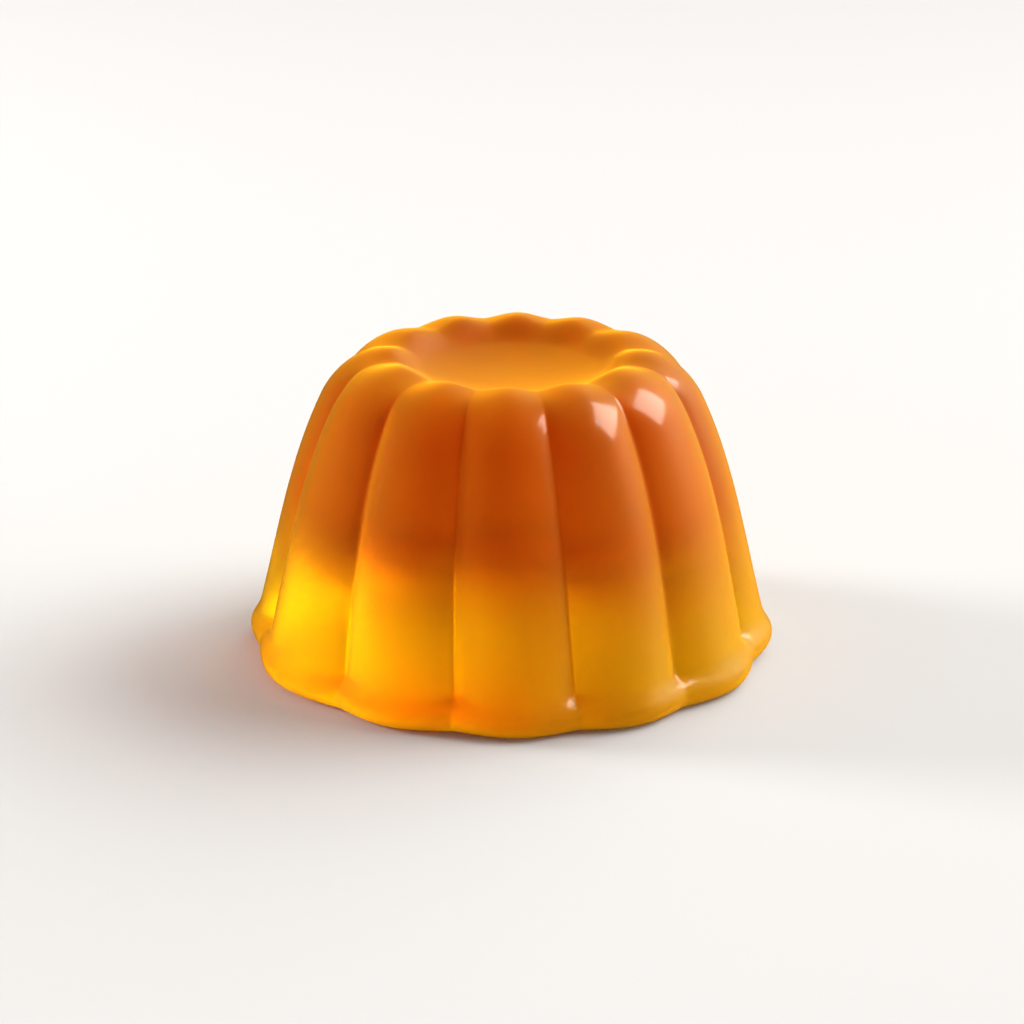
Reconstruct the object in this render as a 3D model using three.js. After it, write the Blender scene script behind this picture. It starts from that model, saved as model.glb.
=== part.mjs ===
// A moulded jelly turned out of a fluted mould: one solid with twelve rounded flutes, a soft rim,
// a shallow dish in its top and a scalloped bead round its foot.
// Millimetres, +Z up, origin on the underside below the middle, one flute facing -Y.

import * as THREE from "three";

// Driving dimensions
// The flutes are uneven, and spread a little differently at the foot and at the rim: their widths in
// degrees, from the front one round towards +X, and the azimuth where the front one begins
const footWidths = [28, 26.8, 30.6, 31, 32, 30, 27, 28, 25.4, 32.6, 39.6, 29];
const footStart = -12.4;
const rimWidths = [28, 29, 33.5, 27, 33.5, 29, 28, 29, 33.5, 27, 33.5, 29];
const rimStart = -16.4;
const fluteArc = THREE.MathUtils.degToRad(60); // half the arc that a flute's section turns through
const fluteFullness = 1.14; // above 1 the flutes are squarer than a plain arc
const rimLean = 0.3; // the jelly has settled so that its rim stands this far to +X of its foot
const footShift = -0.12; // and the whole is shifted along X to keep its uneven foot over the origin

const beadHeight = 4.4; // bead round the foot
const beadBulge = 2.1; // from its flat underside out to its widest line
const beadTopAngle = THREE.MathUtils.degToRad(35); // where the bead starts to flare up into the flutes
const flarePull = 1.1; // how far the flare goes on along the bead and the side at its ends
const dishRadius = 12.8; // where the flutes have died out inside the rim
const dishEdgeHeight = 43.3;
const dishEdgeSlope = THREE.MathUtils.degToRad(17);
const dishFloorHeight = 41.8;

// The outline along the top of a flute and along a crease: radii, heights, leans from the vertical,
// and how far the round shoulder and rim pull on their curves.
const ridge = {
  beadRadius: 39.75,
  footRadius: 38,
  footHeight: 6.4,
  footLean: THREE.MathUtils.degToRad(14),
  shoulderRadius: 28.5,
  shoulderHeight: 39.1,
  shoulderLean: THREE.MathUtils.degToRad(25),
  shoulderPull: 4,
  rimRadius: 18.6,
  rimHeight: 46.2,
  rimPull: 4.4,
  innerPull: 2.2,
};
const crease = {
  beadRadius: 38.1,
  footRadius: 35.4,
  footHeight: 5.6,
  footLean: THREE.MathUtils.degToRad(10.5),
  shoulderRadius: 26,
  shoulderHeight: 40,
  shoulderLean: THREE.MathUtils.degToRad(27.7),
  shoulderPull: 4.5,
  rimRadius: 18,
  rimHeight: 45.3,
  rimPull: 4.6,
  innerPull: 2,
};

// How far the section is from crisp arcs (0) towards a soft wave (1), on the bead, the sides and the rim
const beadSoftness = 0.6;
const sideSoftness = 0.12;
const rimSoftness = 0.85;

// Facets
const facetsPerFlute = 10;
const beadSteps = 5;
const flareSteps = 3;
const sideSteps = 12;
const shoulderSteps = 9;
const innerSteps = 5;
const dishSteps = 4;

const jellyMaterial = new THREE.MeshStandardMaterial({
  name: "amber_jelly",
  color: 0xcb6a0e,
  roughness: 0.25,
  metalness: 0,
});

/** A point in the outline: its radius, its height and how soft the flutes are there. */
function outlinePoint(radius, height, softness) {
  return { radius, height, softness };
}

/** Samples a curve of radius and height, without its first point, while the softness changes along it. */
function alongCurve(curve, steps, softnessFrom, softnessTo) {
  return curve.getPoints(steps).slice(1).map((point, index) => {
    const share = THREE.MathUtils.smoothstep((index + 1) / steps, 0, 1);
    return outlinePoint(point.x, point.y, THREE.MathUtils.lerp(softnessFrom, softnessTo, share));
  });
}

/** The bead's round face, from the edge of the underside up to where it starts to flare. */
function beadCurve(line) {
  const middle = beadHeight / 2;
  return new THREE.EllipseCurve(
    line.beadRadius - beadBulge, middle, beadBulge, middle, -Math.PI / 2, beadTopAngle,
  );
}

/** The hollow flare between the bead and the foot of the side. */
function flareCurve(line) {
  const bead = beadCurve(line);
  const start = bead.getPoint(1);
  return new THREE.CubicBezierCurve(
    start,
    bead.getTangent(1).multiplyScalar(flarePull).add(start),
    new THREE.Vector2(
      line.footRadius + flarePull * Math.sin(line.footLean),
      line.footHeight - flarePull * Math.cos(line.footLean),
    ),
    new THREE.Vector2(line.footRadius, line.footHeight),
  );
}

/** The side, slightly bowed, from its foot up to the shoulder. */
function sideCurve(line) {
  const foot = new THREE.Vector2(line.footRadius, line.footHeight);
  const shoulder = new THREE.Vector2(line.shoulderRadius, line.shoulderHeight);
  const reach = foot.distanceTo(shoulder) / 3;
  return new THREE.CubicBezierCurve(
    foot,
    new THREE.Vector2(foot.x - reach * Math.sin(line.footLean), foot.y + reach * Math.cos(line.footLean)),
    new THREE.Vector2(
      shoulder.x + reach * Math.sin(line.shoulderLean),
      shoulder.y - reach * Math.cos(line.shoulderLean),
    ),
    shoulder,
  );
}

/** The round shoulder, from the side over to the highest line of the rim. */
function shoulderCurve(line) {
  return new THREE.CubicBezierCurve(
    new THREE.Vector2(line.shoulderRadius, line.shoulderHeight),
    new THREE.Vector2(
      line.shoulderRadius - line.shoulderPull * Math.sin(line.shoulderLean),
      line.shoulderHeight + line.shoulderPull * Math.cos(line.shoulderLean),
    ),
    new THREE.Vector2(line.rimRadius + line.rimPull, line.rimHeight),
    new THREE.Vector2(line.rimRadius, line.rimHeight),
  );
}

/** The inside of the rim, from its highest line down to the edge of the dish. */
function innerCurve(line) {
  return new THREE.CubicBezierCurve(
    new THREE.Vector2(line.rimRadius, line.rimHeight),
    new THREE.Vector2(line.rimRadius - line.innerPull, line.rimHeight),
    new THREE.Vector2(
      dishRadius + line.innerPull * Math.cos(dishEdgeSlope),
      dishEdgeHeight + line.innerPull * Math.sin(dishEdgeSlope),
    ),
    new THREE.Vector2(dishRadius, dishEdgeHeight),
  );
}

/** The dish, from its edge to the middle of its floor. */
function dishCurve() {
  const reach = dishRadius / 3;
  return new THREE.CubicBezierCurve(
    new THREE.Vector2(dishRadius, dishEdgeHeight),
    new THREE.Vector2(
      dishRadius - reach * Math.cos(dishEdgeSlope),
      dishEdgeHeight - reach * Math.sin(dishEdgeSlope),
    ),
    new THREE.Vector2(reach, dishFloorHeight),
    new THREE.Vector2(0, dishFloorHeight),
  );
}

/** The whole outline from the middle of the underside round to the middle of the dish. */
function outline(line) {
  return [
    outlinePoint(0, 0, beadSoftness),
    outlinePoint(line.beadRadius - beadBulge, 0, beadSoftness),
    ...alongCurve(beadCurve(line), beadSteps, beadSoftness, beadSoftness),
    ...alongCurve(flareCurve(line), flareSteps, beadSoftness, sideSoftness),
    ...alongCurve(sideCurve(line), sideSteps, sideSoftness, sideSoftness),
    ...alongCurve(shoulderCurve(line), shoulderSteps, sideSoftness, rimSoftness),
    ...alongCurve(innerCurve(line), innerSteps, rimSoftness, rimSoftness),
    ...alongCurve(dishCurve(), dishSteps, rimSoftness, rimSoftness),
  ];
}

/** How far out a flute stands at a place across it: 1 on its ridge and 0 in the creases beside it. */
function fluteRise(across, softness) {
  const bow = Math.abs(across) ** fluteFullness * Math.sin(fluteArc);
  const arc = (Math.sqrt(1 - bow * bow) - Math.cos(fluteArc)) / (1 - Math.cos(fluteArc));
  const wave = (1 + Math.cos(Math.PI * across)) / 2;
  return THREE.MathUtils.lerp(arc, wave, softness);
}

/** The place across a flute, from -1 to 1, of one of its facet lines, closer together towards the creases. */
function facetPlace(facet) {
  const share = 2 * facet / facetsPerFlute - 1;
  return Math.sin(share * fluteArc) / Math.sin(fluteArc);
}

/** The azimuths of the creases, from the one before the front flute round to the same one again. */
function creaseAzimuths(start, widths) {
  return widths
    .reduce((azimuths, width) => [...azimuths, azimuths.at(-1) + width], [start])
    .map(THREE.MathUtils.degToRad);
}

/** The jelly: a turned blank whose points are moved between the ridge's outline and the crease's. */
function jellyGeometry() {
  const ridgeLine = outline(ridge);
  const creaseLine = outline(crease);
  const blankLine = ridgeLine.map((point) => new THREE.Vector2(point.radius, point.height));
  const footCreases = creaseAzimuths(footStart, footWidths);
  const rimCreases = creaseAzimuths(rimStart, rimWidths);
  const geometry = new THREE.LatheGeometry(blankLine, rimWidths.length * facetsPerFlute);
  const position = geometry.attributes.position;
  for (let index = 0; index < position.count; index += 1) {
    const step = Math.floor(index / blankLine.length);
    const onRidge = ridgeLine[index % blankLine.length];
    const inCrease = creaseLine[index % blankLine.length];
    const flute = Math.floor(step / facetsPerFlute) % rimWidths.length;
    const across = facetPlace(step % facetsPerFlute);
    const rise = fluteRise(across, onRidge.softness);
    const radius = THREE.MathUtils.lerp(inCrease.radius, onRidge.radius, rise);
    const height = THREE.MathUtils.lerp(inCrease.height, onRidge.height, rise);
    const share = (across + 1) / 2;
    const climb = height / ridge.rimHeight;
    const azimuth = THREE.MathUtils.lerp(
      THREE.MathUtils.lerp(footCreases[flute], footCreases[flute + 1], share),
      THREE.MathUtils.lerp(rimCreases[flute], rimCreases[flute + 1], share),
      climb,
    );
    const x = radius * Math.sin(azimuth) + rimLean * climb + footShift;
    const y = -radius * Math.cos(azimuth);
    position.setXYZ(index, x, y, height);
  }
  geometry.computeVertexNormals();
  return geometry;
}

const jelly = new THREE.Mesh(jellyGeometry(), jellyMaterial);
jelly.name = "jelly";

const part = new THREE.Group();
part.add(jelly);

export default part;
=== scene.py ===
"""Moulded jelly: a translucent amber jelly turned out of a fluted mould, on a pale studio floor."""

import math

import bmesh
import bpy
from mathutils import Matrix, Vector
from mathutils.geometry import interpolate_bezier


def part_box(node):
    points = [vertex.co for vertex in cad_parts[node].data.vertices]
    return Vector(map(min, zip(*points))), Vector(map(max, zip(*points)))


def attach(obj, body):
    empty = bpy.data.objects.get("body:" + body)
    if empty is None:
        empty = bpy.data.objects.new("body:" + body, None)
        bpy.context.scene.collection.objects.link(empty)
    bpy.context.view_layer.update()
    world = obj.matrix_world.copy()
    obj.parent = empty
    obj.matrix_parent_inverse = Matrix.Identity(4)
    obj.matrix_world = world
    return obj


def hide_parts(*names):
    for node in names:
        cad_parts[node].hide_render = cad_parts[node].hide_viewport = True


bl_info = {
    "name": "Moulded Jelly",
    "version": (1, 0, 0),
    "blender": (4, 5, 0),
    "location": "3D View > Sidebar > Jelly",
    "description": "Makes a fluted moulded jelly and the studio that it stands in",
    "category": "Add Mesh",
}

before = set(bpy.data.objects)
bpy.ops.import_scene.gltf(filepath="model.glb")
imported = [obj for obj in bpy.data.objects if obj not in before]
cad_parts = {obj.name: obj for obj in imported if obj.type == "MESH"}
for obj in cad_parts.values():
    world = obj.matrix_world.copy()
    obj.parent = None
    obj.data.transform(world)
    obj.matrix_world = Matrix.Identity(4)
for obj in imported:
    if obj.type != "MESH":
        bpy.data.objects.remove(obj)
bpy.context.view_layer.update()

MM = 0.001
FOOT_RADIUS, JELLY_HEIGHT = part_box("jelly")[1].x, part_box("jelly")[1].z

# The widths of the uneven flutes in degrees, at the foot and at the rim, from the front one
# round towards +X, and the azimuth where the front one begins
FOOT_WIDTHS = (28, 26.8, 30.6, 31, 32, 30, 27, 28, 25.4, 32.6, 39.6, 29)
FOOT_START = -12.4
RIM_WIDTHS = (28, 29, 33.5, 27, 33.5, 29, 28, 29, 33.5, 27, 33.5, 29)
RIM_START = -16.4

# The radius and height, in millimetres, that the outlines below add up to
TABLE_RADIUS, TABLE_HEIGHT = 39.6003, 46.2

# The outline along the top of a flute and along a crease, in millimetres: radii, heights, leans
# from the vertical in degrees, and how far the round shoulder and rim pull on their curves
RIDGE = {
    "bead_radius": 39.75,
    "foot_radius": 38,
    "foot_height": 6.4,
    "foot_lean": 14,
    "shoulder_radius": 28.5,
    "shoulder_height": 39.1,
    "shoulder_lean": 25,
    "shoulder_pull": 4,
    "rim_radius": 18.6,
    "rim_height": 46.2,
    "rim_pull": 4.4,
    "inner_pull": 2.2,
}
CREASE = {
    "bead_radius": 38.1,
    "foot_radius": 35.4,
    "foot_height": 5.6,
    "foot_lean": 10.5,
    "shoulder_radius": 26,
    "shoulder_height": 40,
    "shoulder_lean": 27.7,
    "shoulder_pull": 4.5,
    "rim_radius": 18,
    "rim_height": 45.3,
    "rim_pull": 4.6,
    "inner_pull": 2,
}

# The bead, in millimetres: its height, how far it bulges from the underside out to its widest
# line, where it starts to flare up into the flutes, and how far the flare goes on along the bead
# and the side at its ends
BEAD_HEIGHT = 4.4
BEAD_BULGE = 2.1
BEAD_TOP_ANGLE = math.radians(35)
FLARE_PULL = 1.1

# How far the section is from crisp arcs (0) towards a soft wave (1)
BEAD_SOFTNESS, SIDE_SOFTNESS, RIM_SOFTNESS = 0.6, 0.12, 0.85

# Rings of points along each stretch of the outline
UNDERSIDE_RINGS = 10
BEAD_RINGS = 16
FLARE_RINGS = 10
SIDE_RINGS = 58
SHOULDER_RINGS = 36
INNER_RINGS = 20
DISH_RINGS = 18

# Points closer together than this are the same point
WELD_DISTANCE = 0.001 * MM

# How many finer layers each noise in the jelly has
CLOUD_DETAIL, FILM_DETAIL, RIPPLE_DETAIL = 2, 3, 1

# The floor stays just clear of the underside, so that light is turned back there inside the jelly
FLOOR_GAP = 0.1 * MM
FLOOR_RADIUS, FLOOR_SEGMENTS = 4, 96
FLOOR_ROUGHNESS = 0.9

# The surround darkens from this sine of the elevation up to overhead
WALL_TOP = 0.35

CAMERA_SENSOR = 36
CAMERA_CLIP = (0.01, 20)


class JellyShape(bpy.types.PropertyGroup):
    """The sizes of the jelly."""

    foot_radius: bpy.props.FloatProperty(
        name="Foot Radius",
        description="From the middle of the jelly out to its bead",
        default=FOOT_RADIUS,
        min=0.01,
        unit="LENGTH",
        subtype="DISTANCE",
    )
    height: bpy.props.FloatProperty(
        name="Height",
        description="From the underside up to the highest part of the rim",
        default=JELLY_HEIGHT,
        min=0.01,
        unit="LENGTH",
        subtype="DISTANCE",
    )
    dish_radius: bpy.props.FloatProperty(
        name="Dish Radius",
        description="Where the flutes have died out inside the rim",
        default=12.8 * MM,
        unit="LENGTH",
        subtype="DISTANCE",
    )
    dish_edge_height: bpy.props.FloatProperty(
        name="Dish Edge Height",
        description="How high the edge of the dish stands",
        default=43.3 * MM,
        unit="LENGTH",
        subtype="DISTANCE",
    )
    dish_floor_height: bpy.props.FloatProperty(
        name="Dish Floor Height",
        description="How high the middle of the dish stands",
        default=41.8 * MM,
        unit="LENGTH",
        subtype="DISTANCE",
    )
    dish_edge_slope: bpy.props.FloatProperty(
        name="Dish Edge Slope",
        description="How steep the dish is at its edge",
        default=math.radians(17),
        unit="ROTATION",
        subtype="ANGLE",
    )
    flute_arc: bpy.props.FloatProperty(
        name="Flute Arc",
        description="Half the arc that the section of a flute turns through",
        default=math.radians(60),
        min=math.radians(20),
        max=math.radians(85),
        unit="ROTATION",
        subtype="ANGLE",
    )
    flute_fullness: bpy.props.FloatProperty(
        name="Flute Fullness",
        description="Above 1 the flutes are squarer than a plain arc",
        default=1.14,
        min=1,
        max=2,
        subtype="FACTOR",
    )
    crease_fillet: bpy.props.FloatProperty(
        name="Crease Fillet",
        description="How much of the depth of a crease its fillet fills",
        default=0.07,
        min=0.001,
        max=0.5,
        subtype="FACTOR",
    )
    rim_lean: bpy.props.FloatProperty(
        name="Rim Lean",
        description="How far the rim stands to +X of the foot",
        default=0.3 * MM,
        unit="LENGTH",
        subtype="DISTANCE",
    )
    foot_shift: bpy.props.FloatProperty(
        name="Foot Shift",
        description="How far the whole is shifted along X to keep its uneven foot over the origin",
        default=-0.12 * MM,
        unit="LENGTH",
        subtype="DISTANCE",
    )
    columns: bpy.props.IntProperty(
        name="Columns per Flute",
        description="How many columns of faces make one flute",
        default=30,
        min=8,
        max=48,
    )


class JellyLook(bpy.types.PropertyGroup):
    """The colours and finish of the jelly."""

    bead_tint: bpy.props.FloatVectorProperty(
        name="Bead Tint",
        description="The colour of the jelly in the bead round its foot",
        default=(0.82, 0.57, 0.0),
        size=3,
        min=0,
        max=1,
        subtype="COLOR",
    )
    # Painted light: the foot's bright yellow stands partly for light let in through the base
    foot_tint_and_painted_light: bpy.props.FloatVectorProperty(
        name="Foot Tint",
        description="The colour of the jelly near its foot",
        default=(1.0, 0.77, 0.0),
        size=3,
        min=0,
        max=1,
        subtype="COLOR",
    )
    # Painted shade: the crown's deep orange stands partly for shade seen through the thick upper
    # body
    crown_tint_and_painted_shade: bpy.props.FloatVectorProperty(
        name="Crown Tint",
        description="The colour of the jelly above its foot",
        default=(0.7, 0.03, 0.0),
        size=3,
        min=0,
        max=1,
        subtype="COLOR",
    )
    bead_top: bpy.props.FloatProperty(
        name="Bead Top",
        description="The height where the bead's colour has given way to the foot's",
        default=6 * MM,
        unit="LENGTH",
        subtype="DISTANCE",
    )
    fade_start: bpy.props.FloatProperty(
        name="Fade Start",
        description="The height where the foot's colour starts to deepen",
        default=6 * MM,
        unit="LENGTH",
        subtype="DISTANCE",
    )
    fade_end: bpy.props.FloatProperty(
        name="Fade End",
        description="The height where the colour is as deep as it gets",
        default=27 * MM,
        unit="LENGTH",
        subtype="DISTANCE",
    )
    fade_wander: bpy.props.FloatProperty(
        name="Fade Wander",
        description="How far the fade wanders up and down round the jelly",
        default=3 * MM,
        unit="LENGTH",
        subtype="DISTANCE",
    )
    cloud_scale: bpy.props.FloatProperty(
        name="Cloud Scale",
        description="How many clouds of colour there are to a metre",
        default=40,
        min=1,
    )
    film_scale: bpy.props.FloatProperty(
        name="Film Scale",
        description="How many wetter and drier patches there are to a metre",
        default=160,
        min=1,
    )
    roughness_spread: bpy.props.FloatProperty(
        name="Roughness Spread",
        description="How much the roughness differs between wetter and drier patches",
        default=0.035,
        min=0,
        max=0.2,
        subtype="FACTOR",
    )
    ripple_scale: bpy.props.FloatProperty(
        name="Ripple Scale",
        description="How many ripples of the skin there are to a metre",
        default=140,
        min=1,
    )
    ripple_strength: bpy.props.FloatProperty(
        name="Ripple Strength",
        description="How clearly the ripples of the skin show",
        default=0.25,
        min=0,
        max=1,
        subtype="FACTOR",
    )
    ripple_depth: bpy.props.FloatProperty(
        name="Ripple Depth",
        description="How deep the ripples of the skin are",
        default=0.12 * MM,
        unit="LENGTH",
        subtype="DISTANCE",
    )
    clearness: bpy.props.FloatProperty(
        name="Clearness",
        description="How much of the light goes straight through instead of being scattered",
        default=0.88,
        min=0,
        max=1,
        subtype="FACTOR",
    )
    glow_radius: bpy.props.FloatVectorProperty(
        name="Glow Radius",
        description="How far each colour spreads under the surface, as a share of the glow scale",
        default=(1.0, 0.6, 0.1),
        size=3,
        min=0,
    )
    glow_scale: bpy.props.FloatProperty(
        name="Glow Scale",
        description="How far light spreads under the surface",
        default=12 * MM,
        unit="LENGTH",
        subtype="DISTANCE",
    )
    shine_tint: bpy.props.FloatVectorProperty(
        name="Shine Tint",
        description="The colour of reflections seen straight on",
        default=(1.0, 0.5, 0.08),
        size=3,
        min=0,
        max=1,
        subtype="COLOR",
    )
    body_colour: bpy.props.FloatVectorProperty(
        name="Body Colour",
        description="The colour that light keeps on its way through the jelly",
        default=(0.975, 0.955, 0.0),
        size=3,
        min=0,
        max=1,
        subtype="COLOR",
    )
    body_density: bpy.props.FloatProperty(
        name="Body Density",
        description="How quickly the colour deepens with the thickness of the jelly, per metre",
        default=200,
        min=0,
    )
    roughness: bpy.props.FloatProperty(
        name="Roughness",
        description="How much the surface softens reflections and what is seen through it",
        default=0.31,
        min=0,
        max=1,
        subtype="FACTOR",
    )
    coat: bpy.props.FloatProperty(
        name="Wet Coat",
        description="How much of the surface has a thin wet film over it",
        default=1,
        min=0,
        max=1,
        subtype="FACTOR",
    )
    coat_roughness: bpy.props.FloatProperty(
        name="Wet Coat Roughness",
        description="How soft the reflections in the wet film are",
        default=0.15,
        min=0,
        max=1,
        subtype="FACTOR",
    )
    coat_refraction: bpy.props.FloatProperty(
        name="Wet Coat Refraction",
        description="Index of refraction of the wet film, which sets how strongly it reflects",
        default=1.48,
        min=1,
        max=3,
    )
    edge_glow: bpy.props.FloatProperty(
        name="Edge Glow",
        description="How much light the cloudy skin scatters where it is seen edge on",
        default=0.66,
        min=0,
        max=1,
        subtype="FACTOR",
    )
    edge_softness: bpy.props.FloatProperty(
        name="Edge Glow Softness",
        description="How far the edge glow reaches in from the edges",
        default=0.72,
        min=0,
        max=1,
        subtype="FACTOR",
    )
    edge_tint: bpy.props.FloatVectorProperty(
        name="Edge Glow Tint",
        description="The colour of the edge glow",
        default=(1.0, 0.46, 0.02),
        size=3,
        min=0,
        max=1,
        subtype="COLOR",
    )
    refraction: bpy.props.FloatProperty(
        name="Refraction",
        description="Index of refraction of set jelly",
        default=1.33,
        min=1,
        max=2,
    )


class JellyStudio(bpy.types.PropertyGroup):
    """The floor, lights and camera around the jelly."""

    floor_colour: bpy.props.FloatVectorProperty(
        name="Floor Colour",
        description="Colour of the pale studio floor",
        default=(0.462, 0.457, 0.45),
        size=3,
        min=0,
        max=1,
        subtype="COLOR",
    )
    dim_colour: bpy.props.FloatVectorProperty(
        name="Dim Side Colour",
        description="Colour of the surround on its dim side",
        default=(1.0, 0.97, 0.94),
        size=3,
        min=0,
        max=1,
        subtype="COLOR",
    )
    bright_colour: bpy.props.FloatVectorProperty(
        name="Bright Side Colour",
        description="Colour of the surround on its bright side",
        default=(1.0, 0.99, 0.97),
        size=3,
        min=0,
        max=1,
        subtype="COLOR",
    )
    dim_strength: bpy.props.FloatProperty(
        name="Dim Side Strength",
        description="How bright the surround is on its dim side",
        default=0.6,
        min=0,
    )
    bright_strength: bpy.props.FloatProperty(
        name="Bright Side Strength",
        description="How bright the surround is on its bright side",
        default=8.7,
        min=0,
    )
    bright_azimuth: bpy.props.FloatProperty(
        name="Bright Side Azimuth",
        description="Where the bright side of the surround is, from the front round towards +X",
        default=math.radians(125),
        unit="ROTATION",
        subtype="ANGLE",
    )
    bright_elevation: bpy.props.FloatProperty(
        name="Bright Side Elevation",
        description="How high the bright side of the surround is above the horizon",
        default=math.radians(15),
        unit="ROTATION",
        subtype="ANGLE",
    )
    dim_edge: bpy.props.FloatProperty(
        name="Dim Edge",
        description="The cosine from the bright side where the surround stops darkening",
        default=0.5,
        min=-1,
        max=1,
    )
    bright_edge: bpy.props.FloatProperty(
        name="Bright Edge",
        description="The cosine from the bright side where the surround starts to darken",
        default=1.0,
        min=-1,
        max=1,
    )
    ceiling_share: bpy.props.FloatProperty(
        name="Ceiling Share",
        description="How much of the brightness near the horizon is left overhead",
        default=0.3,
        min=0,
        max=1,
        subtype="FACTOR",
    )
    reflected_share: bpy.props.FloatProperty(
        name="Reflected Share",
        description="How much of the surround's brightness shows in reflections",
        default=0.01,
        min=0,
        max=1,
        subtype="FACTOR",
    )
    top_power: bpy.props.FloatProperty(
        name="Top Light Power",
        description="Power of the wide softbox overhead",
        default=1.0,
        min=0,
        unit="POWER",
    )
    top_size: bpy.props.FloatProperty(
        name="Top Light Size",
        description="Width of the wide softbox overhead",
        default=0.8,
        min=0.01,
        unit="LENGTH",
        subtype="DISTANCE",
    )
    top_height: bpy.props.FloatProperty(
        name="Top Light Height",
        description="How high the overhead softbox hangs",
        default=1.2,
        unit="LENGTH",
        subtype="DISTANCE",
    )
    key_power: bpy.props.FloatProperty(
        name="Key Light Power",
        description="Power of the softbox on the right",
        default=7.3,
        min=0,
        unit="POWER",
    )
    key_width: bpy.props.FloatProperty(
        name="Key Light Width",
        description="Width of the softbox on the right",
        default=0.65,
        min=0.01,
        unit="LENGTH",
        subtype="DISTANCE",
    )
    key_height: bpy.props.FloatProperty(
        name="Key Light Height",
        description="Height of the softbox on the right",
        default=0.5,
        min=0.01,
        unit="LENGTH",
        subtype="DISTANCE",
    )
    key_azimuth: bpy.props.FloatProperty(
        name="Key Light Azimuth",
        description="Where the softbox stands, from the front round towards +X",
        default=math.radians(105),
        unit="ROTATION",
        subtype="ANGLE",
    )
    key_elevation: bpy.props.FloatProperty(
        name="Key Light Elevation",
        description="How high the softbox stands above the horizon",
        default=math.radians(42),
        unit="ROTATION",
        subtype="ANGLE",
    )
    key_distance: bpy.props.FloatProperty(
        name="Key Light Distance",
        description="How far the softbox stands from the jelly",
        default=1.0,
        unit="LENGTH",
        subtype="DISTANCE",
    )
    fill_power: bpy.props.FloatProperty(
        name="Fill Light Power",
        description="Power of the low softbox on the left",
        default=16,
        min=0,
        unit="POWER",
    )
    fill_width: bpy.props.FloatProperty(
        name="Fill Light Width",
        description="Width of the low softbox on the left",
        default=0.3,
        min=0.01,
        unit="LENGTH",
        subtype="DISTANCE",
    )
    fill_height: bpy.props.FloatProperty(
        name="Fill Light Height",
        description="Height of the low softbox on the left",
        default=0.4,
        min=0.01,
        unit="LENGTH",
        subtype="DISTANCE",
    )
    fill_azimuth: bpy.props.FloatProperty(
        name="Fill Light Azimuth",
        description="Where the low softbox stands, from the front round towards +X",
        default=math.radians(-105),
        unit="ROTATION",
        subtype="ANGLE",
    )
    fill_elevation: bpy.props.FloatProperty(
        name="Fill Light Elevation",
        description="How high the low softbox stands above the horizon",
        default=math.radians(12),
        unit="ROTATION",
        subtype="ANGLE",
    )
    fill_distance: bpy.props.FloatProperty(
        name="Fill Light Distance",
        description="How far the low softbox stands from the jelly",
        default=1.0,
        unit="LENGTH",
        subtype="DISTANCE",
    )
    contrast: bpy.props.FloatProperty(
        name="Contrast",
        description="How much the picture deepens its darker tones",
        default=1.1,
        min=0.5,
        max=3,
    )
    camera_elevation: bpy.props.FloatProperty(
        name="Camera Elevation",
        description="How far above the horizon the camera looks down from",
        default=math.radians(19.5),
        unit="ROTATION",
        subtype="ANGLE",
    )
    camera_distance: bpy.props.FloatProperty(
        name="Camera Distance",
        description="From the camera to the middle of the jelly",
        default=0.557,
        unit="LENGTH",
        subtype="DISTANCE",
    )
    camera_lens: bpy.props.FloatProperty(
        name="Camera Lens",
        description="Focal length on a sensor 36 mm wide",
        default=130.3,
        unit="CAMERA",
    )
    camera_aim: bpy.props.FloatVectorProperty(
        name="Camera Aim",
        description="The point that the camera looks at",
        default=(0.18 * MM, -0.4 * MM, 20.9 * MM),
        size=3,
        unit="LENGTH",
        subtype="TRANSLATION",
    )


def lerp(start, end, share):
    """The value a share of the way from start to end."""
    return start + (end - start) * share


def bezier(points, steps):
    """The points of a Bezier curve of radius and height, without its first."""
    knots = [Vector((radius, height, 0)) for radius, height in points]
    return [(point.x, point.y) for point in interpolate_bezier(*knots, steps + 1)][1:]


def bead_point(line, angle):
    """A point of the bead's round face."""
    middle = BEAD_HEIGHT / 2
    return (
        line["bead_radius"] - BEAD_BULGE + BEAD_BULGE * math.cos(angle),
        middle + middle * math.sin(angle),
    )


def bead_line(line):
    """The bead's round face, from the edge of the underside up to where it starts to flare."""
    shares = [ring / BEAD_RINGS for ring in range(1, BEAD_RINGS + 1)]
    return [bead_point(line, lerp(-math.pi / 2, BEAD_TOP_ANGLE, share)) for share in shares]


def flare_line(line):
    """The hollow flare between the bead and the foot of the side."""
    start = Vector(bead_point(line, BEAD_TOP_ANGLE))
    along = Vector(
        (-BEAD_BULGE * math.sin(BEAD_TOP_ANGLE), BEAD_HEIGHT / 2 * math.cos(BEAD_TOP_ANGLE))
    )
    lean = math.radians(line["foot_lean"])
    end = Vector((line["foot_radius"], line["foot_height"]))
    arrive = end + FLARE_PULL * Vector((math.sin(lean), -math.cos(lean)))
    return bezier((start, start + FLARE_PULL * along.normalized(), arrive, end), FLARE_RINGS)


def side_line(line):
    """The side, slightly bowed, from its foot up to the shoulder."""
    foot = Vector((line["foot_radius"], line["foot_height"]))
    shoulder = Vector((line["shoulder_radius"], line["shoulder_height"]))
    reach = (shoulder - foot).length / 3
    foot_lean, shoulder_lean = math.radians(line["foot_lean"]), math.radians(line["shoulder_lean"])
    lower = (foot.x - reach * math.sin(foot_lean), foot.y + reach * math.cos(foot_lean))
    upper = (
        shoulder.x + reach * math.sin(shoulder_lean),
        shoulder.y - reach * math.cos(shoulder_lean),
    )
    return bezier((foot, lower, upper, shoulder), SIDE_RINGS)


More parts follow.
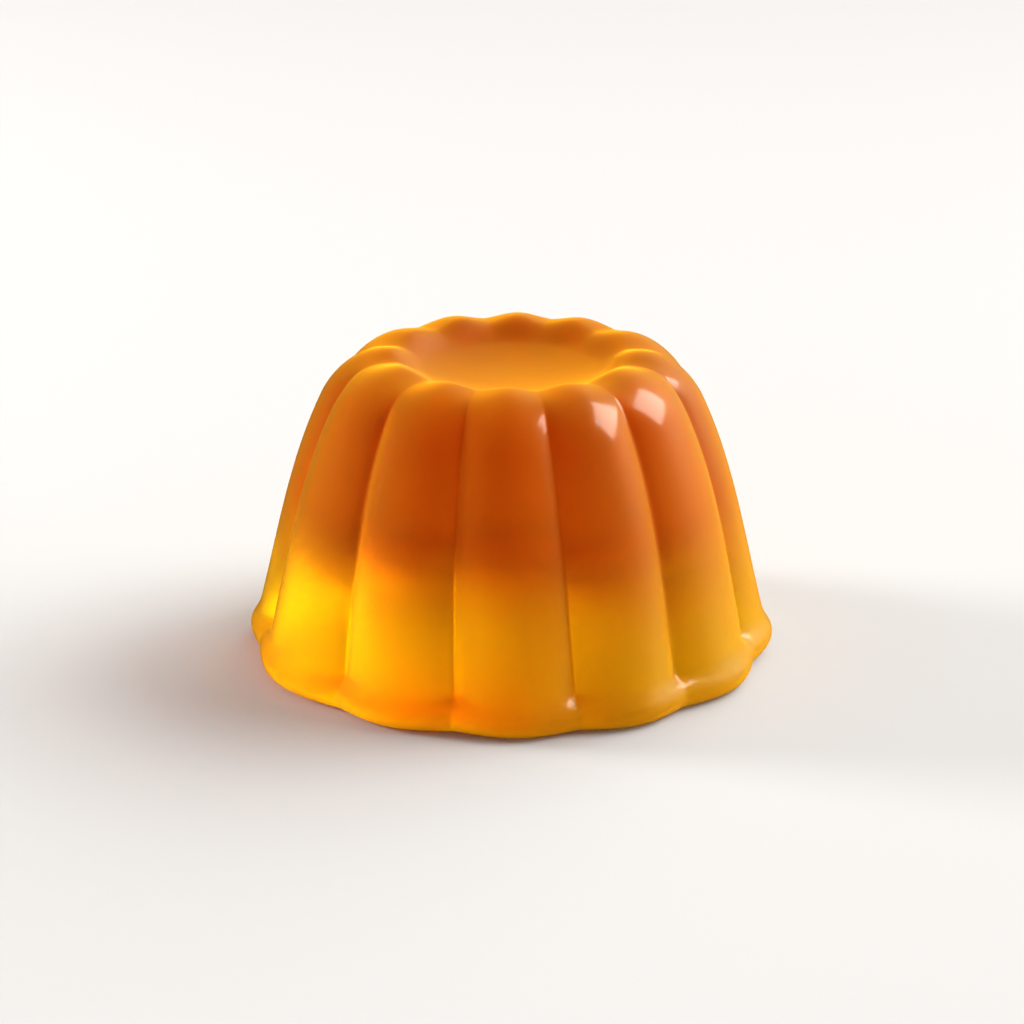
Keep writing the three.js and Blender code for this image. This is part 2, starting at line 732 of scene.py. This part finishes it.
def shoulder_line(line):
    """The round shoulder, from the side over to the highest line of the rim."""
    lean, pull = math.radians(line["shoulder_lean"]), line["shoulder_pull"]
    start = (line["shoulder_radius"], line["shoulder_height"])
    leave = (start[0] - pull * math.sin(lean), start[1] + pull * math.cos(lean))
    end = (line["rim_radius"], line["rim_height"])
    return bezier((start, leave, (end[0] + line["rim_pull"], end[1]), end), SHOULDER_RINGS)


def inner_line(line, dish):
    """The inside of the rim, from its highest line down to the edge of the dish."""
    start, pull = (line["rim_radius"], line["rim_height"]), line["inner_pull"]
    arrive = (
        dish["radius"] + pull * math.cos(dish["slope"]),
        dish["edge"] + pull * math.sin(dish["slope"]),
    )
    return bezier(
        (start, (start[0] - pull, start[1]), arrive, (dish["radius"], dish["edge"])), INNER_RINGS
    )


def dish_line(dish):
    """The dish, from its edge to the middle of its floor."""
    reach = dish["radius"] / 3
    leave = (
        dish["radius"] - reach * math.cos(dish["slope"]),
        dish["edge"] - reach * math.sin(dish["slope"]),
    )
    return bezier(
        ((dish["radius"], dish["edge"]), leave, (reach, dish["floor"]), (0, dish["floor"])),
        DISH_RINGS,
    )


def outline(line, dish):
    """The whole outline, in millimetres, from the middle of the underside to that of the dish."""
    edge = line["bead_radius"] - BEAD_BULGE
    underside = [(edge * step / UNDERSIDE_RINGS, 0) for step in range(UNDERSIDE_RINGS + 1)]
    return (
        underside
        + bead_line(line)
        + flare_line(line)
        + side_line(line)
        + shoulder_line(line)
        + inner_line(line, dish)
        + dish_line(dish)
    )


def softness_line():
    """How soft the flutes are at each point of the outline."""

    def change(start, end, rings):
        """Eases from one softness to the next over a number of rings."""
        shares = [ring / rings for ring in range(1, rings + 1)]
        return [lerp(start, end, share * share * (3 - 2 * share)) for share in shares]

    return (
        [BEAD_SOFTNESS] * (UNDERSIDE_RINGS + 1 + BEAD_RINGS)
        + change(BEAD_SOFTNESS, SIDE_SOFTNESS, FLARE_RINGS)
        + [SIDE_SOFTNESS] * SIDE_RINGS
        + change(SIDE_SOFTNESS, RIM_SOFTNESS, SHOULDER_RINGS)
        + [RIM_SOFTNESS] * (INNER_RINGS + DISH_RINGS)
    )


def flute_rise(across, softness, shape):
    """How far out a flute stands at a place across it: 1 on its ridge and 0 in its creases."""
    bow = abs(across) ** shape.flute_fullness * math.sin(shape.flute_arc)
    least = math.cos(shape.flute_arc)
    arc = (math.sqrt(1 - bow * bow) - least) / (1 - least)
    wave = (1 + math.cos(math.pi * across)) / 2
    rise = lerp(arc, wave, softness)
    fillet = shape.crease_fillet * (1 - softness)
    return (math.hypot(rise, fillet) - fillet) / (math.hypot(1, fillet) - fillet)


def crease_azimuths(start, widths):
    """The azimuths of the creases, from the one before the front flute round to it again."""
    azimuths = [start]
    for width in widths:
        azimuths.append(azimuths[-1] + width)
    return [math.radians(azimuth) for azimuth in azimuths]


def turned_blank(bm, line, columns):
    """Spins the outline into a blank, and returns the layers that number its rings and columns."""
    ring_layer = bm.verts.layers.int.new("ring")
    column_layer = bm.verts.layers.int.new("column")
    points = []
    for ring, (radius, height) in enumerate(line):
        point = bm.verts.new((radius, 0, height))
        point[ring_layer] = ring
        points.append(point)
    edges = [bm.edges.new(pair) for pair in zip(points, points[1:])]
    bmesh.ops.spin(
        bm,
        geom=points + edges,
        cent=(0, 0, 0),
        axis=(0, 0, 1),
        angle=math.tau,
        steps=columns,
        use_merge=True,
        use_normal_flip=False,
        use_duplicate=False,
    )
    for point in bm.verts:
        turn = math.atan2(point.co.y, point.co.x) % math.tau
        point[column_layer] = round(turn / math.tau * columns) % columns
    return ring_layer, column_layer


def shape_flutes(bm, layers, ridge, crease, softness, shape):
    """Moves the points of the blank between the ridge's outline and the crease's."""
    ring_layer, column_layer = layers
    at_foot = crease_azimuths(FOOT_START, FOOT_WIDTHS)
    at_rim = crease_azimuths(RIM_START, RIM_WIDTHS)
    wide, tall = shape.foot_radius / TABLE_RADIUS, shape.height / TABLE_HEIGHT
    for point in bm.verts:
        ring = point[ring_layer]
        flute, column = divmod(point[column_layer], shape.columns)
        place = 2 * column / shape.columns - 1
        across = math.sin(place * shape.flute_arc) / math.sin(shape.flute_arc)
        rise = flute_rise(across, softness[ring], shape)
        radius = lerp(crease[ring][0], ridge[ring][0], rise)
        height = lerp(crease[ring][1], ridge[ring][1], rise)
        climb = height / TABLE_HEIGHT
        azimuth = lerp(
            lerp(at_foot[flute], at_foot[flute + 1], (across + 1) / 2),
            lerp(at_rim[flute], at_rim[flute + 1], (across + 1) / 2),
            climb,
        )
        lean = (shape.rim_lean * climb + shape.foot_shift) / MM
        point.co = (
            (radius * math.sin(azimuth) + lean) * wide,
            -radius * math.cos(azimuth) * wide,
            height * tall,
        )


def jelly_mesh(shape):
    """The mesh of the jelly: a turned blank with its flutes shaped, in metres."""
    dish = {
        "radius": shape.dish_radius / MM,
        "edge": shape.dish_edge_height / MM,
        "floor": shape.dish_floor_height / MM,
        "slope": shape.dish_edge_slope,
    }
    ridge, crease = outline(RIDGE, dish), outline(CREASE, dish)
    bm = bmesh.new()
    layers = turned_blank(bm, ridge, len(RIM_WIDTHS) * shape.columns)
    shape_flutes(bm, layers, ridge, crease, softness_line(), shape)
    bmesh.ops.remove_doubles(bm, verts=bm.verts, dist=WELD_DISTANCE)
    bmesh.ops.recalc_face_normals(bm, faces=bm.faces)
    for face in bm.faces:
        face.smooth = True
    mesh = bpy.data.meshes.new("moulded_jelly")
    bm.to_mesh(mesh)
    bm.free()
    return mesh


def new_node(nodes, kind, location, **values):
    """Adds a shader node at a place in the editor and sets its own properties."""
    node = nodes.new(kind)
    node.location = location
    for name, value in values.items():
        setattr(node, name, value)
    return node


def jelly_tint_and_painted_light(nodes, links, place, look):
    """Yellow near the foot, orange above it along a wandering height, and deeper in the bead; the
    bright yellow foot and the deep orange crown are partly the jelly's own colour and partly
    painted light and painted shade.
    """
    cloud = new_node(nodes, "ShaderNodeTexNoise", (-1100, 200))
    cloud.inputs["Scale"].default_value = look.cloud_scale
    cloud.inputs["Detail"].default_value = CLOUD_DETAIL
    drift = new_node(nodes, "ShaderNodeMapRange", (-900, 200))
    drift.inputs["To Min"].default_value = -look.fade_wander
    drift.inputs["To Max"].default_value = look.fade_wander
    height = new_node(nodes, "ShaderNodeSeparateXYZ", (-1100, -50))
    wandering = new_node(nodes, "ShaderNodeMath", (-700, 100), operation="ADD")
    low = new_node(nodes, "ShaderNodeMapRange", (-500, 400), interpolation_type="SMOOTHSTEP")
    low.inputs["From Max"].default_value = look.bead_top
    foot = new_node(nodes, "ShaderNodeMix", (-400, 400), data_type="RGBA")
    foot.inputs["A"].default_value = (*look.bead_tint, 1)
    foot.inputs["B"].default_value = (*look.foot_tint_and_painted_light, 1)
    share = new_node(nodes, "ShaderNodeMapRange", (-500, 100), interpolation_type="SMOOTHSTEP")
    share.inputs["From Min"].default_value = look.fade_start
    share.inputs["From Max"].default_value = look.fade_end
    # Painted light and shade: the base colour deepens from the bright foot to the dark crown
    tint_and_painted_light = new_node(nodes, "ShaderNodeMix", (-300, 100), data_type="RGBA")
    tint_and_painted_light.inputs["B"].default_value = (*look.crown_tint_and_painted_shade, 1)
    links.new(place, cloud.inputs["Vector"])
    links.new(cloud.outputs["Fac"], drift.inputs["Value"])
    links.new(place, height.inputs["Vector"])
    links.new(height.outputs["Z"], wandering.inputs[0])
    links.new(drift.outputs["Result"], wandering.inputs[1])
    links.new(height.outputs["Z"], low.inputs["Value"])
    links.new(low.outputs["Result"], foot.inputs["Factor"])
    links.new(foot.outputs["Result"], tint_and_painted_light.inputs["A"])
    links.new(wandering.outputs["Value"], share.inputs["Value"])
    links.new(share.outputs["Result"], tint_and_painted_light.inputs["Factor"])
    return tint_and_painted_light.outputs["Result"]


def jelly_skin(nodes, links, place, look):
    """The roughness and the normal of the skin: softly uneven, with faint ripples."""
    film = new_node(nodes, "ShaderNodeTexNoise", (-700, -300))
    film.inputs["Scale"].default_value = look.film_scale
    film.inputs["Detail"].default_value = FILM_DETAIL
    roughness = new_node(nodes, "ShaderNodeMapRange", (-300, -300))
    roughness.inputs["To Min"].default_value = look.roughness - look.roughness_spread
    roughness.inputs["To Max"].default_value = look.roughness + look.roughness_spread
    ripple = new_node(nodes, "ShaderNodeTexNoise", (-700, -600))
    ripple.inputs["Scale"].default_value = look.ripple_scale
    ripple.inputs["Detail"].default_value = RIPPLE_DETAIL
    bump = new_node(nodes, "ShaderNodeBump", (-300, -600))
    bump.inputs["Strength"].default_value = look.ripple_strength
    bump.inputs["Distance"].default_value = look.ripple_depth
    links.new(place, film.inputs["Vector"])
    links.new(film.outputs["Fac"], roughness.inputs["Value"])
    links.new(place, ripple.inputs["Vector"])
    links.new(ripple.outputs["Fac"], bump.inputs["Height"])
    return roughness.outputs["Result"], bump.outputs["Normal"]


def jelly_material(look):
    """Translucent amber jelly: a soft wet skin over a body that deepens with its thickness."""
    material = bpy.data.materials.new("amber_jelly")
    material.use_nodes = True
    nodes, links = material.node_tree.nodes, material.node_tree.links
    nodes.clear()
    output = new_node(nodes, "ShaderNodeOutputMaterial", (300, 0))
    surface = new_node(nodes, "ShaderNodeBsdfPrincipled", (0, 0))
    surface.inputs["IOR"].default_value = look.refraction
    surface.inputs["Transmission Weight"].default_value = look.clearness
    surface.inputs["Subsurface Weight"].default_value = 1
    surface.inputs["Subsurface Radius"].default_value = look.glow_radius
    surface.inputs["Subsurface Scale"].default_value = look.glow_scale
    surface.inputs["Specular Tint"].default_value = (*look.shine_tint, 1)
    surface.inputs["Coat Weight"].default_value = look.coat
    surface.inputs["Coat Roughness"].default_value = look.coat_roughness
    surface.inputs["Coat IOR"].default_value = look.coat_refraction
    surface.inputs["Sheen Weight"].default_value = look.edge_glow
    surface.inputs["Sheen Roughness"].default_value = look.edge_softness
    surface.inputs["Sheen Tint"].default_value = (*look.edge_tint, 1)
    body = new_node(nodes, "ShaderNodeVolumeAbsorption", (0, -900))
    body.inputs["Color"].default_value = (*look.body_colour, 1)
    body.inputs["Density"].default_value = look.body_density
    place = new_node(nodes, "ShaderNodeTexCoord", (-1400, 0)).outputs["Object"]
    tint_and_painted_light = jelly_tint_and_painted_light(nodes, links, place, look)
    roughness, normal = jelly_skin(nodes, links, place, look)
    # The base colour carries painted light and shade: a bright yellow foot and a deep orange crown
    links.new(tint_and_painted_light, surface.inputs["Base Color"])
    links.new(roughness, surface.inputs["Roughness"])
    links.new(normal, surface.inputs["Normal"])
    links.new(surface.outputs["BSDF"], output.inputs["Surface"])
    links.new(body.outputs["Volume"], output.inputs["Volume"])
    return material


class OBJECT_OT_moulded_jelly(bpy.types.Operator):
    """Makes the moulded jelly in place of its plain solid"""

    bl_idname = "object.moulded_jelly"
    bl_label = "Moulded Jelly"

    def execute(self, context):
        piece = bpy.data.objects.new("moulded_jelly", jelly_mesh(context.scene.jelly_shape))
        context.scene.collection.objects.link(piece)
        piece.data.materials.append(jelly_material(context.scene.jelly_look))
        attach(piece, "root")
        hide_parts("jelly")
        return {"FINISHED"}


def floor_material(studio):
    """A pale matt floor."""
    material = bpy.data.materials.new("studio_floor")
    material.use_nodes = True
    surface = material.node_tree.nodes["Principled BSDF"]
    surface.inputs["Base Color"].default_value = (*studio.floor_colour, 1)
    surface.inputs["Roughness"].default_value = FLOOR_ROUGHNESS
    surface.inputs["Specular IOR Level"].default_value = 0
    return material


def make_floor(scene, studio):
    """A wide round floor just below the underside."""
    bm = bmesh.new()
    bmesh.ops.create_circle(bm, cap_ends=True, segments=FLOOR_SEGMENTS, radius=FLOOR_RADIUS)
    bmesh.ops.translate(bm, vec=(0, 0, -FLOOR_GAP), verts=bm.verts)
    mesh = bpy.data.meshes.new("studio_floor")
    bm.to_mesh(mesh)
    bm.free()
    floor = bpy.data.objects.new("studio_floor", mesh)
    floor.data.materials.append(floor_material(studio))
    floor.visible_glossy = False
    scene.collection.objects.link(floor)


def make_surround(scene, studio):
    """Soft light all round, brighter on one side and weaker in reflections."""
    world = bpy.data.worlds.new("studio_surround")
    world.use_nodes = True
    nodes, links = world.node_tree.nodes, world.node_tree.links
    background = nodes["Background"]
    place = new_node(nodes, "ShaderNodeTexCoord", (-1000, 0))
    facing = new_node(nodes, "ShaderNodeVectorMath", (-800, 0), operation="DOT_PRODUCT")
    facing.inputs[1].default_value = direction(studio.bright_azimuth, studio.bright_elevation)
    share = new_node(nodes, "ShaderNodeMapRange", (-600, 0), interpolation_type="SMOOTHSTEP")
    share.inputs["From Min"].default_value = studio.dim_edge
    share.inputs["From Max"].default_value = studio.bright_edge
    colour = new_node(nodes, "ShaderNodeMix", (-400, 300), data_type="RGBA")
    colour.inputs["A"].default_value = (*studio.dim_colour, 1)
    colour.inputs["B"].default_value = (*studio.bright_colour, 1)
    strength = new_node(nodes, "ShaderNodeMapRange", (-400, 0))
    strength.inputs["To Min"].default_value = studio.dim_strength
    strength.inputs["To Max"].default_value = studio.bright_strength
    height = new_node(nodes, "ShaderNodeSeparateXYZ", (-800, -150))
    ceiling = new_node(nodes, "ShaderNodeMapRange", (-400, -150), interpolation_type="SMOOTHSTEP")
    ceiling.inputs["From Min"].default_value = WALL_TOP
    ceiling.inputs["To Min"].default_value = 1
    ceiling.inputs["To Max"].default_value = studio.ceiling_share
    ray = new_node(nodes, "ShaderNodeLightPath", (-800, -300))
    mirrored = new_node(nodes, "ShaderNodeMath", (-400, -300), operation="SUBTRACT", use_clamp=True)
    veil = new_node(nodes, "ShaderNodeMapRange", (-200, -300))
    veil.inputs["To Min"].default_value = 1
    veil.inputs["To Max"].default_value = studio.reflected_share
    faded = new_node(nodes, "ShaderNodeMath", (-300, 0), operation="MULTIPLY")
    shown = new_node(nodes, "ShaderNodeMath", (-200, 0), operation="MULTIPLY")
    links.new(place.outputs["Generated"], facing.inputs[0])
    links.new(facing.outputs["Value"], share.inputs["Value"])
    links.new(share.outputs["Result"], colour.inputs["Factor"])
    links.new(share.outputs["Result"], strength.inputs["Value"])
    links.new(ray.outputs["Is Glossy Ray"], mirrored.inputs[0])
    links.new(ray.outputs["Is Transmission Ray"], mirrored.inputs[1])
    links.new(mirrored.outputs["Value"], veil.inputs["Value"])
    links.new(place.outputs["Generated"], height.inputs["Vector"])
    links.new(height.outputs["Z"], ceiling.inputs["Value"])
    links.new(strength.outputs["Result"], faded.inputs[0])
    links.new(ceiling.outputs["Result"], faded.inputs[1])
    links.new(faded.outputs["Value"], shown.inputs[0])
    links.new(veil.outputs["Result"], shown.inputs[1])
    links.new(colour.outputs["Result"], background.inputs["Color"])
    links.new(shown.outputs["Value"], background.inputs["Strength"])
    scene.world = world


def direction(azimuth, elevation):
    """Towards an azimuth measured from the front round towards +X, and an elevation."""
    flat = math.cos(elevation)
    return Vector((flat * math.sin(azimuth), -flat * math.cos(azimuth), math.sin(elevation)))


def softbox(scene, name, place, aim, power, width, height):
    """A rectangular white lamp that faces a point."""
    light = bpy.data.lights.new(name, "AREA")
    light.shape = "RECTANGLE"
    light.size, light.size_y = width, height
    light.energy = power
    lamp = bpy.data.objects.new(name, light)
    lamp.location = place
    lamp.rotation_euler = (place - aim).to_track_quat("Z", "Y").to_euler()
    scene.collection.objects.link(lamp)


def make_camera(scene, studio):
    """A long lens in front of the jelly that looks slightly down on it."""
    camera = bpy.data.cameras.new("camera")
    camera.lens = studio.camera_lens
    camera.sensor_width = CAMERA_SENSOR
    camera.clip_start, camera.clip_end = CAMERA_CLIP
    back = direction(0, studio.camera_elevation)
    holder = bpy.data.objects.new("camera", camera)
    holder.location = Vector(studio.camera_aim) + back * studio.camera_distance
    holder.rotation_euler = back.to_track_quat("Z", "Y").to_euler()
    scene.collection.objects.link(holder)
    scene.camera = holder


class SCENE_OT_jelly_studio(bpy.types.Operator):
    """Makes the pale floor, the soft lights and the camera"""

    bl_idname = "scene.jelly_studio"
    bl_label = "Jelly Studio"

    def execute(self, context):
        scene = context.scene
        studio = scene.jelly_studio
        middle = Vector((0, 0, JELLY_HEIGHT / 2))
        make_floor(scene, studio)
        make_surround(scene, studio)
        key = middle + direction(studio.key_azimuth, studio.key_elevation) * studio.key_distance
        size = studio.key_width, studio.key_height
        softbox(scene, "key", key, middle, studio.key_power, *size)
        fill = middle + direction(studio.fill_azimuth, studio.fill_elevation) * studio.fill_distance
        size = studio.fill_width, studio.fill_height
        softbox(scene, "fill", fill, middle, studio.fill_power, *size)
        above = middle + Vector((0, 0, studio.top_height))
        softbox(scene, "top", above, middle, studio.top_power, studio.top_size, studio.top_size)
        # These two show neither in the wet skin nor through the jelly
        for name in ("fill", "top"):
            scene.objects[name].visible_glossy = False
            scene.objects[name].visible_transmission = False
        make_camera(scene, studio)
        scene.view_settings.view_transform = "Standard"
        scene.view_settings.gamma = 1 / studio.contrast
        return {"FINISHED"}


class VIEW3D_PT_moulded_jelly(bpy.types.Panel):
    """Sizes, looks and buttons of the moulded jelly"""

    bl_idname = "VIEW3D_PT_moulded_jelly"
    bl_label = "Moulded Jelly"
    bl_space_type = "VIEW_3D"
    bl_region_type = "UI"
    bl_category = "Jelly"

    def draw(self, context):
        for operator, settings in SECTIONS:
            box = self.layout.box()
            group = getattr(context.scene, settings)
            for name in group.__annotations__:
                box.prop(group, name)
            box.operator(operator)


SECTIONS = (
    (OBJECT_OT_moulded_jelly.bl_idname, "jelly_shape"),
    (OBJECT_OT_moulded_jelly.bl_idname, "jelly_look"),
    (SCENE_OT_jelly_studio.bl_idname, "jelly_studio"),
)
SETTINGS = {"jelly_shape": JellyShape, "jelly_look": JellyLook, "jelly_studio": JellyStudio}
CLASSES = (
    JellyShape,
    JellyLook,
    JellyStudio,
    OBJECT_OT_moulded_jelly,
    SCENE_OT_jelly_studio,
    VIEW3D_PT_moulded_jelly,
)


def register():
    for made in CLASSES:
        bpy.utils.register_class(made)
    for name, settings in SETTINGS.items():
        setattr(bpy.types.Scene, name, bpy.props.PointerProperty(type=settings))


def unregister():
    for name in SETTINGS:
        delattr(bpy.types.Scene, name)
    for made in reversed(CLASSES):
        bpy.utils.unregister_class(made)


def main():
    register()
    bpy.ops.object.moulded_jelly()
    bpy.ops.scene.jelly_studio()


if __name__ == "__main__":
    main()
